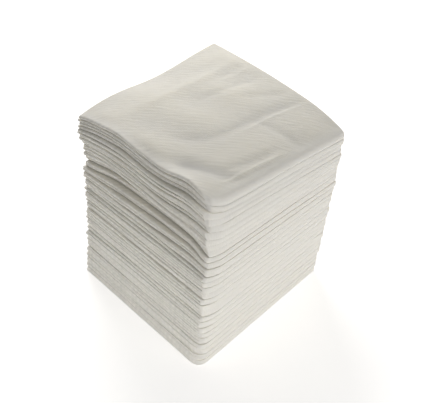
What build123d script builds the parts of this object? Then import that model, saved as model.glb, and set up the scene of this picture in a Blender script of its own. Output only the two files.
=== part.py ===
from build123d import *
import os
from math import atan, degrees, sin

# A free-standing stack of square paper napkins. Each napkin is one sheet of soft embossed
# tissue folded twice: the first fold lays it double along a crease on the -Y side, and the
# second fold bends the doubled sheet in half round the +X side. So every napkin shows one
# rounded fold at +X, two creases at -Y, and open cut edges at -X and +Y. The lower napkins
# lie flat. From there up each one falls away a little more towards its rounded fold.
# Millimetres, +Z up, origin at the middle of the underside of the lowest napkin.

# Sheet
open_side = 240.0  # side of one napkin spread out flat
layer = 0.915  # thickness of one layer of fluffy tissue, all its plies together
layer_gap = 0.2  # air between the two layers of one half
half_gap = 0.4  # air between the two halves, up to the second fold, which is pressed shut
crease_run = 0.8  # length over which a half narrows to its crease
crease_depth = 1.6  # distance from the outside of the crease to the air between its layers
edge_step = 1.2  # how far the outer layers stop short of the inner ones at the cut edges

# Stack
napkin_count = 28
flat_count = 13  # napkins at the bottom of the stack that lie flat
rest_gap = 0.15  # air between one napkin and the next, where they lie closest
loft = 0.3  # how much more air there is under the flat part of a bent napkin
bend_run = 80.0  # length over which the bent napkins fall away to the fold
crease_lift = 0.41  # how much more air there is over the creases, which spring up
lean_x = -2.2  # how far the napkins have slid along X by the top of the stack
lean_y = 10.8  # the same along Y
slip_x = 0.25  # how far single napkins lie out of line along X
slip_y = 0.45  # the same along Y
turn = 0.35  # degrees that single napkins are turned
upper_count = 9  # napkins in the upper bundle, which was set down on the lower one
recess_count = 2  # napkins drawn back from the folded corner, just under the upper bundle
recess_x = 1.0  # how far they are drawn back along X
recess_y = 1.8  # the same along Y
top_count = 4  # loose napkins at the very top
top_shift = 1.2  # how far these stand out along -X and along -Y

# Sizes that follow
side = open_side / 2
inner_z = half_gap / 2
outer_z = inner_z + 2 * layer + layer_gap
crease_z = (inner_z + outer_z) / 2
fold_x = side / 2 - outer_z
bend_x = fold_x - bend_run
fold_tilt = degrees(atan(crease_lift / side))


def doubled_sheet(place, up, inside, parted=False):
    """Draws one half across the stack, above the middle of the napkin if up is 1, or below
    it if up is -1, with its inside at that height. Its two layers meet in the crease, and lie
    apart if parted is true."""
    across = Plane(place)
    section = Plane(across.origin, across.y_dir, across.x_dir)
    back = side / 2
    front = -side / 2
    step = back - edge_step
    outline = [
        (back, inside),
        (front + crease_run, inside),
        (front, crease_z),
        (front + crease_run, outer_z),
        (step, outer_z),
    ]
    if parted:
        outline += [
            (step, outer_z - layer),
            (front + crease_depth, outer_z - layer),
            (front + crease_depth, inner_z + layer),
        ]
    else:
        outline += [(step, inner_z + layer)]
    outline += [(back, inner_z + layer)]
    with BuildSketch(section) as half:
        with BuildLine():
            Polyline([(y, up * z) for y, z in outline], close=True)
        make_face()
    return half.sketch


def out_of_line(number):
    """How far one napkin lies from the stack's own line, along X and along Y."""
    x = slip_x * sin(2.4 * number)
    y = slip_y * sin(1.7 * number)
    above = napkin_count - 1 - number
    if upper_count <= above < upper_count + recess_count:
        x -= recess_x
        y += recess_y
    if above < top_count:
        x -= top_shift
        y -= top_shift
    return x, y


# The lowest napkin lies flat. Each one above tips towards +Y, because the one below springs
# up along its creases, so the stack bends over that way as well as having slid.
os.makedirs("parts", exist_ok=True)
bed = Location()
for number in range(napkin_count):
    slid = 1 - (1 - number / napkin_count) ** 3
    off_x, off_y = out_of_line(number)
    x = lean_x * slid + off_x
    y = lean_y * slid + off_y
    bent = max(0, number + 1 - flat_count)
    under = loft if bent else 0
    tip = Rot(-fold_tilt if number else 0, 0, 0)
    middle = bed * Pos(x, y + side / 2, under) * tip * Pos(0, -side / 2, outer_z)
    seat = middle * Rot(0, 0, turn * sin(3.7 * number))

    # A napkin keeps to the shape of its bed however far it has slid, so all of them begin to
    # bend at the same place in the stack.
    flat_end = bend_x - x if bent else fold_x
    flat = seat * Pos(flat_end, 0, 0)
    fold = flat
    if bent:
        radius = bend_run**2 / (2 * loft * bent)
        angle = degrees((fold_x - flat_end) / radius)
        hinge = flat * Pos(0, 0, -radius)
        fold = hinge * Rot(0, angle, 0) * Pos(0, 0, radius)

    # The layers lie apart in the flat halves, and are pressed together where they bend.
    with BuildPart() as napkin:
        extrude(doubled_sheet(flat, 1, inner_z, True), amount=-(flat_end + side / 2 - edge_step))
        extrude(doubled_sheet(flat, -1, inner_z, True), amount=-(flat_end + side / 2))
        if bent:
            bend_axis = Axis(hinge.position, Plane(hinge).y_dir)
            revolve(doubled_sheet(flat, 1, inner_z), axis=bend_axis, revolution_arc=angle)
            revolve(doubled_sheet(flat, -1, inner_z), axis=bend_axis, revolution_arc=angle)
        fold_axis = Axis(fold.position, Plane(fold).y_dir)
        revolve(doubled_sheet(fold, 1, 0), axis=fold_axis, revolution_arc=180)

    name = f"napkin_{number + 1:02d}"
    napkin.part.label = name
    export_step(napkin.part, f"parts/{name}.step")
    bed = middle * Pos(-x, -y, outer_z + rest_gap)
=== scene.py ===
import bpy
import numpy as np
from mathutils import Euler, Matrix, Vector


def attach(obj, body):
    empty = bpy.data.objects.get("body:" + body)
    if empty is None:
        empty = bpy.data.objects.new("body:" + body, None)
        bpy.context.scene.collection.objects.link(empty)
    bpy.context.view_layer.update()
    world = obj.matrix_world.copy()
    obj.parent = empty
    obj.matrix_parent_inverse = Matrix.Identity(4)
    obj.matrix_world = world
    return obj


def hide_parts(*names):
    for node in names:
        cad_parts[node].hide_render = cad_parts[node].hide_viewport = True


# A free-standing stack of paper napkins, each folded twice. Every napkin is one closed mesh. It
# is laid out along its two fold paths, set where the solids have it, and bent as soft paper is.
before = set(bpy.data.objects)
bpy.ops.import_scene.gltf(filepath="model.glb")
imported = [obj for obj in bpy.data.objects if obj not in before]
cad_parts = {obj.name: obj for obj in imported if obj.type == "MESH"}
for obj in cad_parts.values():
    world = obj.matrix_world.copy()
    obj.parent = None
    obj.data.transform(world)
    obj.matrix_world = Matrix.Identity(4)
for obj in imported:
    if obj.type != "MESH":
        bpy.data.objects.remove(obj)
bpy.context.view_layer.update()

# One millimetre in metres. Shapes are worked out in millimetres.
MM = 0.001

# The stack's own sizes, the same as the solids have. TURN is in degrees.
OPEN_SIDE = 240.0
SIDE = OPEN_SIDE / 2
HALF = SIDE / 2
LAYER = 0.915
LAYER_GAP = 0.2
HALF_GAP = 0.4
EDGE_STEP = 1.2
COUNT = 28
FLAT_COUNT = 13
REST_GAP = 0.15
LOFT = 0.3
BEND_RUN = 80.0
CREASE_LIFT = 0.41
LEAN_X = -2.2
LEAN_Y = 10.8
SLIP_X = 0.25
SLIP_Y = 0.45
TURN = 0.35
UPPER_COUNT = 9
RECESS_COUNT = 2
RECESS_X = 1.0
RECESS_Y = 1.8
TOP_COUNT = 4
TOP_SHIFT = 1.2
INNER_Z = HALF_GAP / 2
OUTER_Z = INNER_Z + 2 * LAYER + LAYER_GAP
FOLD_X = HALF - OUTER_Z
BEND_X = FOLD_X - BEND_RUN
FOLD_TILT = np.arctan(CREASE_LIFT / SIDE)

# Slip and turn go to and fro by a sine, whose angle grows with each napkin by so many radians.
SLIP_X_STEP = 2.4
SLIP_Y_STEP = 1.7
TURN_STEP = 3.7


def ease(t):
    """Goes smoothly from 0 to 1 as t does."""
    t = np.clip(t, 0, 1)
    return t * t * (3 - 2 * t)


def hill(t):
    """A round bump, 1 at t = 0 and about nothing from t = 2."""
    return np.exp(-t * t)


def rim(distance, width):
    """1 at an edge, falling to 0 at width from it, steepest at the edge."""
    return np.clip(1 - distance / width, 0, 1) ** 2


def between(start, end, share):
    """The value at that share of the way from start to end."""
    return start + (end - start) * share


def from_top(number):
    """How many napkins lie on this one."""
    return COUNT - 1 - number


def in_recess(number):
    """Whether the solids draw this napkin back, just under the upper bundle."""
    return UPPER_COUNT <= from_top(number) < UPPER_COUNT + RECESS_COUNT


def out_of_line(number):
    """How far one napkin lies from the stack's own line, along X and along Y."""
    x = SLIP_X * np.sin(SLIP_X_STEP * number)
    y = SLIP_Y * np.sin(SLIP_Y_STEP * number)
    if in_recess(number):
        x -= RECESS_X
        y += RECESS_Y
    if from_top(number) < TOP_COUNT:
        x -= TOP_SHIFT
        y -= TOP_SHIFT
    return x, y


def slid(number):
    """The share of the whole lean that one napkin has slid."""
    return 1 - (1 - number / COUNT) ** 3


def slid_y(number):
    """How far one napkin lies along Y from the stack's foot."""
    number = min(max(number, 0), COUNT - 1)
    return LEAN_Y * slid(number) + out_of_line(number)[1]


def turned(number):
    """The angle by which one napkin is turned on the stack."""
    return np.radians(TURN * np.sin(TURN_STEP * number))


def bent(number):
    """How many bent napkins there are up to this one. The lower napkins lie flat."""
    return max(0, number + 1 - FLAT_COUNT)


def seats():
    """The place of each napkin's own middle, from the lowest napkin up, as the solids have it,
    with how far the napkin has slid along X."""
    bed = Matrix.Identity(4)
    places = []
    for number in range(COUNT):
        off_x, off_y = out_of_line(number)
        x = LEAN_X * slid(number) + off_x
        y = LEAN_Y * slid(number) + off_y
        tip = Matrix.Rotation(-FOLD_TILT if number else 0, 4, "X")
        middle = (
            bed
            @ Matrix.Translation((x, y + HALF, LOFT if bent(number) else 0))
            @ tip
            @ Matrix.Translation((0, -HALF, OUTER_Z))
        )
        places.append((middle @ Matrix.Rotation(turned(number), 4, "Z"), x))
        bed = middle @ Matrix.Translation((-x, -y, OUTER_Z + REST_GAP))
    return places


# Chance: one generator for the whole stack, and one for each napkin, seeded by its number.
STACK_SEED = 7
NAPKIN_SEED = 100

# The lowest of a few waves, as a share of the highest.
LEAST_WAVE = 0.5

rng = np.random.default_rng(STACK_SEED)


class Waves:
    """A smooth random surface over the napkin, made of a few long waves."""

    def __init__(self, height, shortest, longest, count=5):
        turns = rng.uniform(0, 2 * np.pi, count)
        lengths = rng.uniform(shortest, longest, count)
        self.kx = 2 * np.pi * np.cos(turns) / lengths
        self.ky = 2 * np.pi * np.sin(turns) / lengths
        self.phase = rng.uniform(0, 2 * np.pi, count)
        self.size = height * rng.uniform(LEAST_WAVE, 1.0, count) / np.sqrt(count)

    def __call__(self, x, y):
        total = np.zeros(np.broadcast(x, y).shape)
        for kx, ky, phase, size in zip(self.kx, self.ky, self.phase, self.size):
            total += size * np.sin(kx * x + ky * y + phase)
        return total


# The wrinkles of the topmost sheet: from, to, height, width and bow, in millimetres.
WRINKLES = [
    ((26.5, 50), (20.5, -6), -0.8, 4.2, -2.0),
    ((30, 52), (26, 6), 0.4, 1.5, -1.5),
    ((21, -2), (5, -38), -0.65, 4.6, 4.5),
    ((2, 24), (14, 50), -0.6, 4.0, 0.0),
    ((25, 14), (55, 20), -0.6, 3.4, 1.0),
    ((49.5, 4), (44, -34), -0.9, 3.0, 1.0),
    ((51.5, -42), (54, 2), 1.1, 1.4, 0.0),
    ((20, -52), (56, -34), -1.7, 5.6, 0.0),
    ((-14, 2), (-9, 46), -0.6, 3.4, 0.0),
    ((-32, -40), (-31, 50), 0.8, 4.5, 0.0),
    ((-20, 30), (-20, 56), 0.5, 3.0, 0.0),
]

# They fade within this share of their length on either side of both ends, and within so many
# millimetres of the sheet's edges.
WRINKLE_FADE = 0.25
WRINKLE_EDGE = 9.0

soft = Waves(height=0.7, shortest=26, longest=60, count=7)


def ridge(x, y, start, end, height, width, bow):
    """A soft ridge from start to end on the sheet, bowed sideways, fading out at both ends."""
    ax, ay = start
    bx, by = end
    length = np.hypot(bx - ax, by - ay)
    tx, ty = (bx - ax) / length, (by - ay) / length
    t = ((x - ax) * tx + (y - ay) * ty) / length
    inside = np.clip(t, 0, 1)
    aside = (y - ay) * tx - (x - ax) * ty - bow * 4 * inside * (1 - inside)
    fade_run = 2 * WRINKLE_FADE
    ends = ease((t + WRINKLE_FADE) / fade_run) * ease((1 + WRINKLE_FADE - t) / fade_run)
    return height * ends * hill(aside / width)


def wrinkles(x, y):
    """The height of the topmost sheet's wrinkles, which die away at its edges."""
    total = soft(x, y)
    for wrinkle in WRINKLES:
        total = total + ridge(x, y, *wrinkle)
    edge = np.minimum(HALF - np.abs(x), HALF - np.abs(y))
    return total * ease(edge / WRINKLE_EDGE)


# The surfaces between napkins and the middles of napkins roll, and lie too high or too low by
# about so many millimetres.
BETWEEN_SPREAD = 0.26
MIDDLE_SPREAD = 0.42

interfaces = [Waves(height=0.75, shortest=60, longest=190) for _ in range(COUNT + 1)]
middles = [Waves(height=0.35, shortest=50, longest=150) for _ in range(COUNT)]
thick = rng.normal(0, BETWEEN_SPREAD, COUNT + 1)
uneven = rng.normal(0, MIDDLE_SPREAD, COUNT)


def interface(index, x, y):
    """How far the surface between two napkins lies from its even place."""
    if index == 0:
        return np.zeros(np.broadcast(x, y).shape)
    if index == COUNT:
        return wrinkles(x, y)
    return interfaces[index](x, y) + thick[index]


# The lowest napkins are pressed closer by the weight on them. Their folds and creases are less
# uneven by the first share, and their creases run on into each other by the second.
PRESSED_COUNT = 20
PRESSED_SHARE = 0.75
FLUSH = 0.85


def pressed(number):
    """1 for the lowest napkin, falling to 0 higher up."""
    return ease(1 - number / PRESSED_COUNT)


# How unevenly the upper crease, the lower crease and the fold of one napkin stand out, in
# millimetres: as a whole, and in waves along them. The back of the fold has its own spread, and
# the closed corner is drawn in more or less by a factor.
NOSE_SPREAD = (0.38, 0.38, 0.04)
NOSE_WAVES = (0.32, 0.32, 0.05)
BACK_SPREAD = 0.14
CORNER_SPREAD = (0.94, 1.06)

# How square the creases are, high in the stack and for the lowest napkin. A half circle is 1.
CREASE_SQUARE = 0.9
LOW_CREASE_SQUARE = 0.2

# The grid: the spacing beside a fold or a cut edge in millimetres, the fewest steps along a
# straight, and how many more steps go round a fold than round a crease.
NEAR_SPACING = 0.5
LEAST_STEPS = 4
MORE_STEPS = 4


def steps(start, end, spacing, near_start=True, near_end=True):
    """Places from start to end, close together near the ends that show and wider between."""
    way = np.sign(end - start)
    count = max(LEAST_STEPS, int(round(abs(end - start) / spacing)))
    even = start + (end - start) * np.linspace(0, 1, count + 1)
    close = (NEAR_SPACING, 3 * NEAR_SPACING)
    extra = [start + way * distance for distance in close] if near_start else []
    extra += [end - way * distance for distance in close] if near_end else []
    places = np.array(sorted(set(np.round(np.concatenate([even, extra]), 4))))
    return places if end > start else places[::-1]


class Napkin:
    """One sheet folded twice. Its grid runs along both fold paths, and it has two skins."""

    def __init__(self, number, seat, slid_x, spacing, hidden_spacing, crease_steps):
        self.number = number
        self.seat = seat
        self.slid_x = slid_x
        self.spacing = spacing
        self.hidden_spacing = hidden_spacing
        self.crease_steps = crease_steps
        own = np.random.default_rng(NAPKIN_SEED + number)
        loose = 1 - PRESSED_SHARE * pressed(number)
        self.nose = own.normal(0, NOSE_SPREAD) * loose
        self.back = own.normal(0, BACK_SPREAD)
        self.corner = own.uniform(*CORNER_SPREAD)
        self.waves = [Waves(height=size * loose, shortest=25, longest=70, count=4) for size in NOSE_WAVES]

    def first_fold(self):
        """The section along Y of one half: out along the inner layer to the crease and back
        along the outer one. Gives y, height from the napkin's middle, the direction across the
        sheet, and the place on the flat sheet."""
        inner = INNER_Z + LAYER / 2
        outer = OUTER_Z - LAYER / 2
        radius = (outer - inner) / 2
        centre = -HALF + radius + LAYER / 2
        quarter = radius * np.pi / 2
        out_y = steps(HALF, centre, self.hidden_spacing)
        back_y = steps(centre, HALF - EDGE_STEP, self.spacing)
        turn = np.linspace(0, np.pi, self.crease_steps + 1)[1:-1]
        square = between(CREASE_SQUARE, LOW_CREASE_SQUARE, pressed(self.number))
        out = np.abs(np.sin(turn)) ** square
        up = -np.sign(np.cos(turn)) * np.abs(np.cos(turn)) ** square
        level_out = np.full(len(out_y), 1.0)
        level_back = np.full(len(back_y), 1.0)
        y = np.concatenate([out_y, centre - radius * out, back_y])
        z = np.concatenate([inner * level_out, inner + radius * (1 + up), outer * level_back])
        ny = np.concatenate([0 * level_out, -out, 0 * level_back])
        nz = np.concatenate([-level_out, up, level_back])
        round_crease = radius * (turn - np.pi / 2)
        flat = np.concatenate([centre - out_y - quarter, round_crease, back_y - centre + quarter])
        return y, z, ny, nz, flat

    def second_fold(self):
        """The path along X, from the lower half's cut edge round the fold to the upper half's.
        Gives x along the straights, the angle round the fold, and the place on the sheet."""
        radius = (INNER_Z + OUTER_Z) / 2
        quarter = radius * np.pi / 2
        low_x = steps(-HALF, FOLD_X, self.hidden_spacing, near_end=False)
        high_x = steps(FOLD_X, -HALF + EDGE_STEP, self.spacing, near_start=False)
        turn = np.linspace(-np.pi / 2, np.pi / 2, self.crease_steps + MORE_STEPS + 1)[1:-1]
        x = np.concatenate([low_x, np.full(len(turn), FOLD_X), high_x])
        angle = np.concatenate([np.full(len(low_x), -np.pi / 2), turn, np.full(len(high_x), np.pi / 2)])
        flat = np.concatenate([low_x - FOLD_X - quarter, radius * turn, FOLD_X - high_x + quarter])
        return x, angle, flat


# How square the folds' noses are, where a half circle is 1. The upper napkins press together
# into an almost even wall, and the topmost one rolls over at the top.
NOSE_SQUARE = 0.12
UPPER_NOSE_SQUARE = 0.07
TOP_NOSE_SQUARE = 0.04
TOP_NOSE_COUNT = 3
TOP_ROLL = 0.8

# The share by which the noses stand out less where they meet the straights, the share of its
# layer that the sheet keeps at its cut edges, and a cosine that counts as none.
NOSE_BULGE = 0.12
CUT_EDGE = 0.55
NO_COSINE = 1e-9


def nose_square(number, sin):
    """How square one napkin's fold is, at that sine of the angle round it."""
    above = from_top(number)
    if above >= UPPER_COUNT:
        return NOSE_SQUARE
    if above >= TOP_NOSE_COUNT:
        return UPPER_NOSE_SQUARE
    return np.where((sin > 0) & (above == 0), TOP_ROLL, TOP_NOSE_SQUARE)


def folded(napkin, across):
    """The folded sheet's points before it is bent, for one skin. across is the distance from
    the middle of the layer, as a share of the layer."""
    y, z, ny, nz, flat_y = napkin.first_fold()
    x, angle, flat_x = napkin.second_fold()
    w = np.full((len(x), len(y)), across * LAYER)
    w[[0, -1], :] *= CUT_EDGE
    w[:, [0, -1]] *= CUT_EDGE
    yy = y[None, :] + w * ny[None, :]
    rise = z[None, :] + w * nz[None, :]
    cos = np.cos(angle)[:, None]
    sin = np.sin(angle)[:, None]
    square = nose_square(napkin.number, sin)
    lift = np.sign(sin) * np.abs(sin) ** square
    reach = np.where(cos > NO_COSINE, np.abs(cos) ** square, 0)
    reach = reach * (1 - NOSE_BULGE * lift * lift)
    xx = x[:, None] + rise * reach
    flat = np.stack(np.broadcast_arrays(flat_x[:, None], flat_y[None, :]), -1)
    return xx, yy, rise * lift, flat


# How much of the sheet goes along when a fold or a crease stands in or out, and the height over
# which a napkin's lower crease passes into its upper one, in millimetres.
NOSE_REACH = 14.0
CREASES_RUN = 2.0

# How far the creases under the upper bundle are drawn in, in millimetres. This band lies so
# many napkins from the top, and climbs to the left. Its ends are drawn in less.
BAND_IN = 5.5
BAND_PLACE = 7.8
BAND_CLIMB = 1.2
BAND_WIDTH = 1.9
BAND_LEFT = 0.35
BAND_LEFT_REACH = 30.0
BAND_RIGHT = 0.4
BAND_RIGHT_REACH = 25.0


def crease_shift(napkin, x, y, z):
    """How far a napkin's creases lie in from the place where the solids have them, along Y."""
    number = napkin.number
    above = from_top(number)
    upper = ease((z + CREASES_RUN / 2) / CREASES_RUN)
    shift = upper * (napkin.nose[0] + napkin.waves[0](x, y))
    shift = shift + (1 - upper) * (napkin.nose[1] + napkin.waves[1](x, y))
    band = BAND_IN * hill((above - BAND_PLACE - BAND_CLIMB * x / HALF) / BAND_WIDTH)
    band = band * between(BAND_LEFT, 1, ease((x + HALF) / BAND_LEFT_REACH))
    band = band * between(BAND_RIGHT, 1, ease((HALF - x) / BAND_RIGHT_REACH))
    shift = shift + band - (RECESS_Y if in_recess(number) else 0)
    own = slid_y(number)
    step = np.where(z > 0, slid_y(number + 1) - own, own - slid_y(number - 1))
    return shift + FLUSH * pressed(number) * step / 2 * z / OUTER_Z


# The folds are set in line with each other. The topmost ones stand back a little, by their
# count from the top, and so does a band under the bundle, by a share less at the open back.
FOLD_BACK = (0.45, 0.3, 0.2, 0.1)
FOLD_BAND_IN = 1.3
FOLD_BAND_PLACE = 8.0
FOLD_BAND_WIDTH = 1.9
FOLD_BAND_LESS = 0.5
FOLD_BAND_FROM = 10.0
FOLD_BAND_RUN = 50.0

# Where along Y the folds begin to be less in line, and over how much they become so.
LOOSE_FROM = 38.0
LOOSE_RUN = 22.0


def fold_shift(napkin, x, y):
    """How far a napkin's fold lies out from the place where the solids have it, along X."""
    number = napkin.number
    above = from_top(number)
    back = FOLD_BACK[above] if above < len(FOLD_BACK) else 0
    band = FOLD_BAND_IN * hill((above - FOLD_BAND_PLACE) / FOLD_BAND_WIDTH)
    band = band * (1 - FOLD_BAND_LESS * ease((y - FOLD_BAND_FROM) / FOLD_BAND_RUN))
    loose = napkin.back * ease((y - LOOSE_FROM) / LOOSE_RUN)
    even = y * np.sin(turned(number)) - out_of_line(number)[0] - back - band + loose
    return napkin.nose[2] + napkin.waves[2](x, y) + even


# How much of the air between two napkins they swell into: high in the stack, for the lowest
# napkin, and near the fold.
SWELL = 0.75
PRESSED_SWELL = 0.95
FOLD_SWELL = 0.98
FOLD_SWELL_REACH = 9.0

# Where along X the air between a napkin's halves begins to close, over how much, and the share
# of it that closes.
CLOSE_FROM = 25.0
CLOSE_RUN = 28.0
CLOSE_SHARE = 0.9


def swollen(napkin, x, y, z, bend):
    """The height of a point once its napkin has swollen into the air round it, and its share
    of the way from the napkin's middle to the upper face or, below 0, to the lower one."""
    number = napkin.number
    air = REST_GAP / 2 + CREASE_LIFT / 2 * (0.5 - y / SIDE)
    loft = LOFT / 2 * (1 - bend)
    swell = between(SWELL, PRESSED_SWELL, pressed(number))
    swell = between(swell, FOLD_SWELL, ease(1 - (HALF - x) / FOLD_SWELL_REACH))
    under = swell * (air + (loft if bent(number) else 0))
    over = swell * (air + (loft if bent(number + 1) else 0))
    low = -OUTER_Z - (under if number else 0) + interface(number, x, y)
    high = OUTER_Z + over + interface(number + 1, x, y)
    middle = middles[number](x, y) + uneven[number]
    closed = np.maximum(ease((x - CLOSE_FROM) / CLOSE_RUN), pressed(number)) * (1 - np.abs(z) / OUTER_Z)
    share = (z - np.sign(z) * INNER_Z * CLOSE_SHARE * closed) / OUTER_Z
    rise = np.where(share > 0, middle + share * (high - middle), middle - share * (low - middle))
    return rise, share


# The closed corner. Low in the stack it is round. Higher up the second fold is drawn in
# towards the creases over a short run, and ends there in a sharp upright edge.
LOW_CORNER_RADIUS = 8.0
HIGH_CORNER_RADIUS = 1.5
TOP_CORNER_RADIUS = 3.0
TOP_CORNER_COUNT = 5
ROUND_COUNT = 9
CORNER_IN = 4.0
CORNER_RUN = 12.0
CORNER_REACH = 20.0


def corner_radius(number):
    """The radius of one napkin's closed corner."""
    uppermost = ease((number + 1 + TOP_CORNER_COUNT - COUNT) / TOP_CORNER_COUNT)
    radius = between(LOW_CORNER_RADIUS, HIGH_CORNER_RADIUS, ease(number / ROUND_COUNT))
    return radius + (TOP_CORNER_RADIUS - HIGH_CORNER_RADIUS) * uppermost


def round_corner(x, y, radius):
    """Draws the closed corner at +X and -Y in to a round one."""
    a = np.clip(1 - (HALF - x) / radius, 0, 1)
    b = np.clip(1 - (HALF + y) / radius, 0, 1)
    x_in = radius * a * (1 - np.sqrt(1 - b * b / 2))
    y_in = radius * b * (1 - np.sqrt(1 - a * a / 2))
    return x - x_in, y + y_in


def draw_in(x, y):
    """How far the second fold is drawn in near the creases."""
    return CORNER_IN * rim(y + HALF, CORNER_RUN) * ease(1 - (HALF - x) / CORNER_REACH)


# The soft bends of the upper napkins, in millimetres, and how many napkins deep they reach.
# The open corner at -X and -Y droops.
DROOP_DEPTH = 10.0
LEFT_DROOP = 6.5
LEFT_REACH = 46.0

# The fold side curls down, more so towards the back.
CURL_FRONT = 0.5
CURL_BACK = 5.0
CURL_FRONT_REACH = 10.0
CURL_BACK_REACH = 34.0

# Along the creases the sheets sag, and rise again towards the closed corner.
SAG = 2.2
SAG_X = 10.0
SAG_LENGTH = 18.0
SAG_REACH = 46.0
RISE = 4.4
RISE_X = 43.0
RISE_LENGTH = 15.0
RISE_REACH = 30.0

# The open edge at -X sags in its middle.
OPEN_SAG = 5.0
OPEN_SAG_Y = 2.0
OPEN_SAG_LENGTH = 36.0
OPEN_SAG_REACH = 42.0

# The whole stack is twisted a little, and falls away to its open edge.
TWIST = 2.0
OPEN_FALL = 1.2

# The topmost sheets roll over at the fold. ROLL_TURN is the sine of the steepest angle.
ROLL_DROP = 1.6
ROLL_REACH = 5.0
ROLL_TURN = 0.85
ROLL_DEPTH = 4.0


def rolled(distance):
    """The share of the roll's drop at that distance from the fold."""
    turn = ROLL_TURN * np.clip(1 - distance / ROLL_REACH, 0, 1)
    return (1 - np.sqrt(1 - turn**2)) / (1 - np.sqrt(1 - ROLL_TURN**2))


def bends(x, y, level):
    """How far the stack's soft bends lift a point. level counts napkins from the floor."""
    deep = np.clip(1 - (COUNT - level) / DROOP_DEPTH, 0, 1)
    share = level / COUNT
    along = np.clip((y + HALF) / SIDE, 0, 1)
    curl_reach = between(CURL_FRONT_REACH, CURL_BACK_REACH, along)
    total = -LEFT_DROOP * rim((x + HALF) + (y + HALF), LEFT_REACH)
    total -= between(CURL_FRONT, CURL_BACK, along) * rim(HALF - x, curl_reach)
    total += RISE * hill((x - RISE_X) / RISE_LENGTH) * rim(y + HALF, RISE_REACH)
    total -= SAG * hill((x - SAG_X) / SAG_LENGTH) * rim(y + HALF, SAG_REACH)
    total -= OPEN_SAG * hill((y - OPEN_SAG_Y) / OPEN_SAG_LENGTH) * rim(x + HALF, OPEN_SAG_REACH)
    total *= (ease(deep) + deep) / 2
    total -= ROLL_DROP * rolled(HALF - x) * np.clip(1 - (COUNT - level) / ROLL_DEPTH, 0, 1)
    total -= TWIST * (x / HALF) * (y / HALF) * share
    total -= OPEN_FALL * share * (np.clip(x, None, 0) / HALF) ** 2
    return total


def shaped(napkin, across):
    """One skin of a napkin where it lies in the stack, in metres, with its flat places."""
    number = napkin.number
    x, y, z, flat = folded(napkin, across)
    near_crease = ease(1 - (y + HALF) / NOSE_REACH)
    near_fold = ease(1 - (HALF - x) / NOSE_REACH)
    y = y + near_crease * crease_shift(napkin, x, y, z)
    x = x + near_fold * fold_shift(napkin, x, y)

    bend = np.clip((x + napkin.slid_x - BEND_X) / BEND_RUN, 0, None) ** 2
    z, share = swollen(napkin, x, y, z, bend)
    z = z - LOFT * bent(number) * bend
    level = number + (share + 1) / 2

    x, y = round_corner(x, y, corner_radius(number))
    x = x - ease(number / ROUND_COUNT) * draw_in(x, y) * napkin.corner
    points = np.stack([x, y, z, np.ones_like(x)], -1) @ np.array(napkin.seat).T
    lean = napkin.seat.translation
    off_x, off_y = out_of_line(number)
    points[..., 2] += bends(points[..., 0] - lean.x + off_x, points[..., 1] - lean.y + off_y, level)
    return points[..., :3] * MM, flat * MM


# How far apart two napkins next to each other take their pressed pattern from the noise.
PATTERN_STEP = 0.37


def skin_faces(rows, cols, first, flip):
    """Quads of one skin's grid."""
    index = first + np.arange(rows * cols).reshape(rows, cols)
    quad = np.stack([index[:-1, :-1], index[1:, :-1], index[1:, 1:], index[:-1, 1:]], -1)
    quad = quad.reshape(-1, 4)
    return quad[:, ::-1] if flip else quad


def border(rows, cols):
    """The grid's outer ring of points, in order."""
    index = np.arange(rows * cols).reshape(rows, cols)
    return np.concatenate([index[:-1, 0], index[-1, :-1], index[:0:-1, -1], index[0, :0:-1]])


def build(napkin, material):
    """Makes the closed mesh of one napkin from its two skins and the strip along its edge."""
    outer, flat = shaped(napkin, 0.5)
    inner, _ = shaped(napkin, -0.5)
    rows, cols = outer.shape[:2]
    count = rows * cols
    ring = border(rows, cols)
    following = np.roll(ring, -1)
    strip = np.stack([ring, following, following + count, ring + count], -1)
    faces = np.concatenate([skin_faces(rows, cols, 0, True), skin_faces(rows, cols, count, False), strip])
    points = np.concatenate([outer.reshape(-1, 3), inner.reshape(-1, 3)])
    name = f"tissue_{napkin.number + 1:02d}"
    mesh = bpy.data.meshes.new(name)
    mesh.from_pydata(points.tolist(), [], faces.tolist())
    mesh.update()
    sheet = mesh.attributes.new("sheet", "FLOAT_VECTOR", "POINT")
    both = np.concatenate([flat.reshape(-1, 2), flat.reshape(-1, 2)])
    sheet.data.foreach_set("vector", np.c_[both, np.full(len(both), napkin.number * PATTERN_STEP)].ravel())
    mesh.shade_smooth()
    mesh.materials.append(material)
    piece = bpy.data.objects.new(name, mesh)
    bpy.context.scene.collection.objects.link(piece)
    return piece


class Nodes:
    """Short hand for making shader nodes and joining them."""

    def __init__(self, tree):
        self.tree = tree
        tree.nodes.clear()

    def add(self, kind, inputs=None, **settings):
        node = self.tree.nodes.new(kind)
        for key, value in settings.items():
            setattr(node, key, value)
        for key, value in (inputs or {}).items():
            if isinstance(value, bpy.types.NodeSocket):
                self.tree.links.new(value, node.inputs[key])
            else:
                node.inputs[key].default_value = value
        return node

    def math(self, operation, *values):
        node = self.add("ShaderNodeMath", dict(enumerate(values)), operation=operation)
        return node.outputs[0]

    def plus(self, first, second):
        return self.math("ADD", first, second)

    def minus(self, first, second):
        return self.math("SUBTRACT", first, second)

    def times(self, first, second):
        return self.math("MULTIPLY", first, second)

    def noise(self, place, scale, detail, roughness=0.5):
        settings = {"Vector": place, "Scale": scale, "Detail": detail, "Roughness": roughness}
        return self.add("ShaderNodeTexNoise", settings).outputs[0]

    def seen(self):
        """1 where the camera looks, straight or in a mirror, and 0 for all other light."""
        path = self.add("ShaderNodeLightPath")
        return self.math("MAXIMUM", path.outputs["Is Camera Ray"], path.outputs["Is Glossy Ray"])


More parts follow.
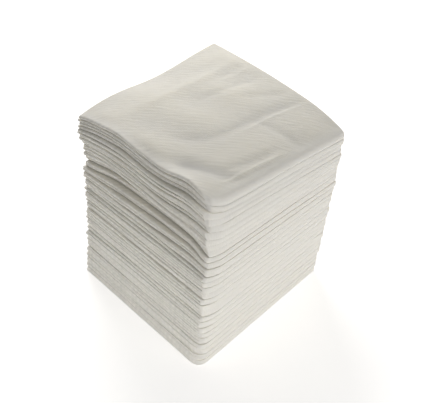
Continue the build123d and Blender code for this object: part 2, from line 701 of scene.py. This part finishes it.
# The colours of the flat tissue and of its folds. The fold colour is lighter: painted light, standing in
# for the light that shines through the folds and brightens their smooth rims. The flat colour is reached
# at that distance from a fold, with the end of the passage rounded.
FLAT_COLOUR = (0.81, 0.782, 0.695, 1)
FOLD_PAINTED_LIGHT_COLOUR = (0.89, 0.863, 0.78, 1)
FOLD_FADE = 7 * MM
FADE_ROUNDING = 0.2

# The pressed pattern: ribs across one diagonal of the sheet, finer crepe across its sides, and
# a shake that puts both a little out of line. DIAGONAL is the cosine of 45 degrees.
DIAGONAL = 0.7071
RIB_PITCH = 2.9 * MM
CREPE_PITCH = 1.25 * MM
SHAKE = 0.9 * MM
SHAKE_SCALE = 220.0

# The breaks in the ribs, which are long along the ribs, and the fine fuzz of the tissue.
BREAK_SCALE = 115.0
BREAK_STRETCH = 5.0
FUZZ_SCALE = 1300.0
FUZZ_ROUGHNESS = 0.6

# The shares of these in the pattern's height, and that height. The ribs are strong where the
# breaks are over a level. Only part of the pattern is left on the fold and on the creases.
RIB_HEIGHT = 0.15
BREAK_HEIGHT = 1.9
CREPE_HEIGHTS = (0.12, 0.04)
FUZZ_HEIGHT = 0.45
BREAK_LEVEL = 0.3
BREAK_GAIN = 2.4
ON_FOLD = 0.1
ON_CREASE = 0.55
BUMP = 0.2 * MM

# Painted shade in the pressed pattern's pits: how much darker the pits are painted, near the creases and
# on the flat part, and how much the ribs count in that. It stands in for the shade that falls in the pits.
PAINTED_PIT_SHADE = 0.3
FLAT_PAINTED_PIT_SHADE = 0.12
RIB_PAINTED_SHADE = 0.08


def tissue():
    """Soft white tissue with fine ribs pressed in along one diagonal of the sheet, painted shade in the
    pattern's pits and painted light at the folds.
    """
    material = bpy.data.materials.new("tissue")
    material.use_nodes = True
    nodes = Nodes(material.node_tree)
    sheet = nodes.add("ShaderNodeAttribute", attribute_name="sheet").outputs["Vector"]
    apart = nodes.add("ShaderNodeSeparateXYZ", {0: sheet})
    u, v = apart.outputs[0], apart.outputs[1]
    across = nodes.times(nodes.plus(u, v), DIAGONAL)
    along = nodes.times(nodes.minus(u, v), DIAGONAL)
    shake = nodes.times(nodes.noise(sheet, SHAKE_SCALE, detail=2.0), SHAKE)

    def rows(place, pitch):
        """Waves with that pitch along a place on the sheet, shaken out of line."""
        return nodes.math("SINE", nodes.times(nodes.plus(place, shake), 2 * np.pi / pitch))

    def flatness(place):
        """0 on a fold, rising to 1 where the sheet is flat."""
        distance = nodes.times(nodes.math("ABSOLUTE", place), 1 / FOLD_FADE)
        return nodes.math("SMOOTH_MIN", distance, 1.0, FADE_ROUNDING)

    ribs = rows(across, RIB_PITCH)
    stretched = nodes.add("ShaderNodeCombineXYZ", {0: nodes.times(across, BREAK_STRETCH), 1: along})
    breaks = nodes.noise(stretched.outputs[0], BREAK_SCALE, detail=2.0)
    fuzz = nodes.noise(sheet, FUZZ_SCALE, detail=3.0, roughness=FUZZ_ROUGHNESS)
    flat_u, flat_v = flatness(u), flatness(v)
    on_fold = nodes.plus(nodes.times(flat_u, 1 - ON_FOLD), ON_FOLD)
    on_crease = nodes.plus(nodes.times(flat_v, 1 - ON_CREASE), ON_CREASE)

    patch = nodes.times(nodes.minus(breaks, BREAK_LEVEL), BREAK_GAIN)
    height = nodes.times(nodes.times(ribs, patch), RIB_HEIGHT)
    height = nodes.plus(height, nodes.times(breaks, BREAK_HEIGHT))
    height = nodes.times(height, nodes.times(on_fold, on_crease))
    for place, share in zip((u, v), CREPE_HEIGHTS):
        height = nodes.plus(height, nodes.times(rows(place, CREPE_PITCH), share))
    height = nodes.plus(height, nodes.times(fuzz, FUZZ_HEIGHT))
    bump = nodes.add("ShaderNodeBump", {"Height": height, "Strength": 1.0, "Distance": BUMP})

    # Painted light: near folds and creases the tissue is painted in the lighter fold colour, standing in
    # for the light that shines through them.
    flat = nodes.math("MINIMUM", flat_u, flat_v)
    colour = nodes.add("ShaderNodeMix", {0: flat, 6: FOLD_PAINTED_LIGHT_COLOUR, 7: FLAT_COLOUR}, data_type="RGBA")
    # Painted shade: the colour is darkened in the pattern's pits, standing in for the shade that falls in
    # them.
    pattern = nodes.plus(nodes.minus(breaks, 0.5), nodes.times(ribs, RIB_PAINTED_SHADE))
    painted_pit_shade = nodes.minus(PAINTED_PIT_SHADE, nodes.times(flat_v, PAINTED_PIT_SHADE - FLAT_PAINTED_PIT_SHADE))
    value = nodes.plus(nodes.times(pattern, nodes.times(on_fold, painted_pit_shade)), 1.0)
    with_painted_shade = nodes.add("ShaderNodeHueSaturation", {"Value": value, "Color": colour.outputs[2]})
    shader = nodes.add(
        "ShaderNodeBsdfPrincipled",
        {
            "Base Color": with_painted_shade.outputs[0],
            "Roughness": 0.95,
            "Specular IOR Level": 0.15,
            "Subsurface Weight": 0.65,
            "Subsurface Radius": (1.0, 0.95, 0.85),
            "Subsurface Scale": 3 * MM,
            "Normal": bump.outputs[0],
        },
    )
    nodes.add("ShaderNodeOutputMaterial", {"Surface": shader.outputs[0]})
    return material


# The floor's radius in metres, its colour, and the light it gives off to the camera alone.
FLOOR_RADIUS = 0.6
FLOOR_COLOUR = (0.9, 0.9, 0.9, 1)
FLOOR_GLOW = 0.5
WHITE = (1, 1, 1, 1)


def floor_material():
    """A white floor that the camera sees a little lighter, so that only the shadow shows."""
    material = bpy.data.materials.new("floor")
    material.use_nodes = True
    nodes = Nodes(material.node_tree)
    diffuse = nodes.add("ShaderNodeBsdfDiffuse", {"Color": FLOOR_COLOUR})
    glow = nodes.add("ShaderNodeEmission", {"Color": WHITE, "Strength": FLOOR_GLOW})
    none = nodes.add("ShaderNodeEmission", {"Strength": 0.0})
    extra = nodes.add("ShaderNodeMixShader", {0: nodes.seen(), 1: none.outputs[0], 2: glow.outputs[0]})
    both = nodes.add("ShaderNodeAddShader", {0: diffuse.outputs[0], 1: extra.outputs[0]})
    nodes.add("ShaderNodeOutputMaterial", {"Surface": both.outputs[0]})
    return material


def make_floor():
    """A round floor under the stack."""
    bpy.ops.mesh.primitive_circle_add(vertices=96, radius=FLOOR_RADIUS, fill_type="NGON")
    floor = bpy.context.object
    floor.name = "floor"
    floor.data.materials.append(floor_material())


WORLD_LIGHT = 0.25
WORLD_COLOUR = (1.0, 0.982, 0.965, 1)


def make_world():
    """White where the camera looks, and a plain soft light everywhere else."""
    world = bpy.data.worlds.new("studio")
    world.use_nodes = True
    bpy.context.scene.world = world
    nodes = Nodes(world.node_tree)
    light = nodes.add("ShaderNodeBackground", {"Color": WORLD_COLOUR, "Strength": WORLD_LIGHT})
    white = nodes.add("ShaderNodeBackground", {"Color": WHITE, "Strength": 1.0})
    mix = nodes.add("ShaderNodeMixShader", {0: nodes.seen(), 1: light.outputs[0], 2: white.outputs[0]})
    nodes.add("ShaderNodeOutputWorld", {"Surface": mix.outputs[0]})


def hold(lamp, towards):
    """Adds a lamp to the scene, with its light coming from the direction given."""
    holder = bpy.data.objects.new(lamp.name, lamp)
    holder.rotation_euler = Vector(towards).to_track_quat("Z", "Y").to_euler()
    bpy.context.scene.collection.objects.link(holder)
    return holder


def sun(name, towards, strength, spread, colour):
    """A soft distant lamp that shines from the direction given."""
    lamp = bpy.data.lights.new(name, "SUN")
    lamp.energy = strength * np.pi
    lamp.angle = np.radians(spread)
    lamp.color = colour
    hold(lamp, towards)


def soft_box(name, place, target, size, energy, colour):
    """A soft oblong lamp at a place, which faces a target and which the camera doesn't see."""
    lamp = bpy.data.lights.new(name, "AREA")
    lamp.shape = "RECTANGLE"
    lamp.size, lamp.size_y = size
    lamp.energy = energy
    lamp.color = colour
    holder = hold(lamp, Vector(place) - Vector(target))
    holder.location = place
    holder.visible_camera = False


# The middle of the stack's top, and the way from there to the main lamp, which stands behind
# the stack on the left. In metres.
TOP_MIDDLE = Vector((-0.002, 0.010, 0.135))
BACK_WAY = Vector((-0.74, 0.46, 0.56)) * 0.46
BACK_COLOUR = (1.0, 0.98, 0.96)
SIDE_COLOUR = (1.0, 0.98, 0.955)


def make_lamps():
    """The main lamp, and three weak ones for the sides that the camera sees."""
    soft_box(
        "back_light",
        place=TOP_MIDDLE + BACK_WAY,
        target=TOP_MIDDLE,
        size=(0.30, 0.30),
        energy=1.93,
        colour=BACK_COLOUR,
    )
    sun("side_light", towards=(0.95, 0.0, 0.25), strength=0.40, spread=40, colour=SIDE_COLOUR)
    soft_box(
        "low_fill_creases",
        place=(0.05, -0.20, 0.008),
        target=(0.04, 0, 0.015),
        size=(0.20, 0.02),
        energy=0.09,
        colour=SIDE_COLOUR,
    )
    soft_box(
        "low_fill_fold",
        place=(0.22, 0.0, 0.012),
        target=(0, 0, 0.03),
        size=(0.22, 0.02),
        energy=0.05,
        colour=SIDE_COLOUR,
    )


# The camera stands where the photograph was taken from. Its angles are in degrees, and its
# distance and the place it aims at in metres.
PHOTO_WIDTH = 430
FOCAL_PIXELS = 720
SENSOR = 36.0
CAMERA_AZIMUTH = 45.0
CAMERA_ELEVATION = 45.3
CAMERA_ROLL = 0.1
CAMERA_DISTANCE = 0.4865
CAMERA_AIM = Vector((0.0062, 0.0086, 0.0704))


def make_camera():
    """The camera, looking down at the stack from the front right."""
    azimuth = np.radians(CAMERA_AZIMUTH)
    elevation = np.radians(CAMERA_ELEVATION)
    level = np.cos(elevation)
    back = Vector((np.sin(azimuth) * level, -np.cos(azimuth) * level, np.sin(elevation)))
    data = bpy.data.cameras.new("camera")
    data.sensor_width = SENSOR
    data.lens = SENSOR * FOCAL_PIXELS / PHOTO_WIDTH
    camera = bpy.data.objects.new("camera", data)
    camera.location = CAMERA_AIM + back * CAMERA_DISTANCE
    turn = (-back).to_track_quat("-Z", "Y")
    roll = Euler((0, 0, np.radians(CAMERA_ROLL))).to_quaternion()
    camera.rotation_euler = (turn @ roll).to_euler()
    bpy.context.scene.collection.objects.link(camera)
    bpy.context.scene.camera = camera


# The grids of the ordinary napkins and of the topmost one: spacing in millimetres where the
# sheet shows and where it is hidden, and steps round a crease.
PLAIN_GRID = {"spacing": 3.8, "hidden_spacing": 3.8, "crease_steps": 8}
TOP_GRID = {"spacing": 0.75, "hidden_spacing": 5.0, "crease_steps": 12}

material = tissue()
for number, (seat, slid_x) in enumerate(seats()):
    grid = PLAIN_GRID if from_top(number) else TOP_GRID
    piece = build(Napkin(number, seat, slid_x, **grid), material)
    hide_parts(f"napkin_{number + 1:02d}")
    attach(piece, "root")

make_floor()
make_world()
make_lamps()
make_camera()
bpy.context.scene.view_settings.view_transform = "Standard"
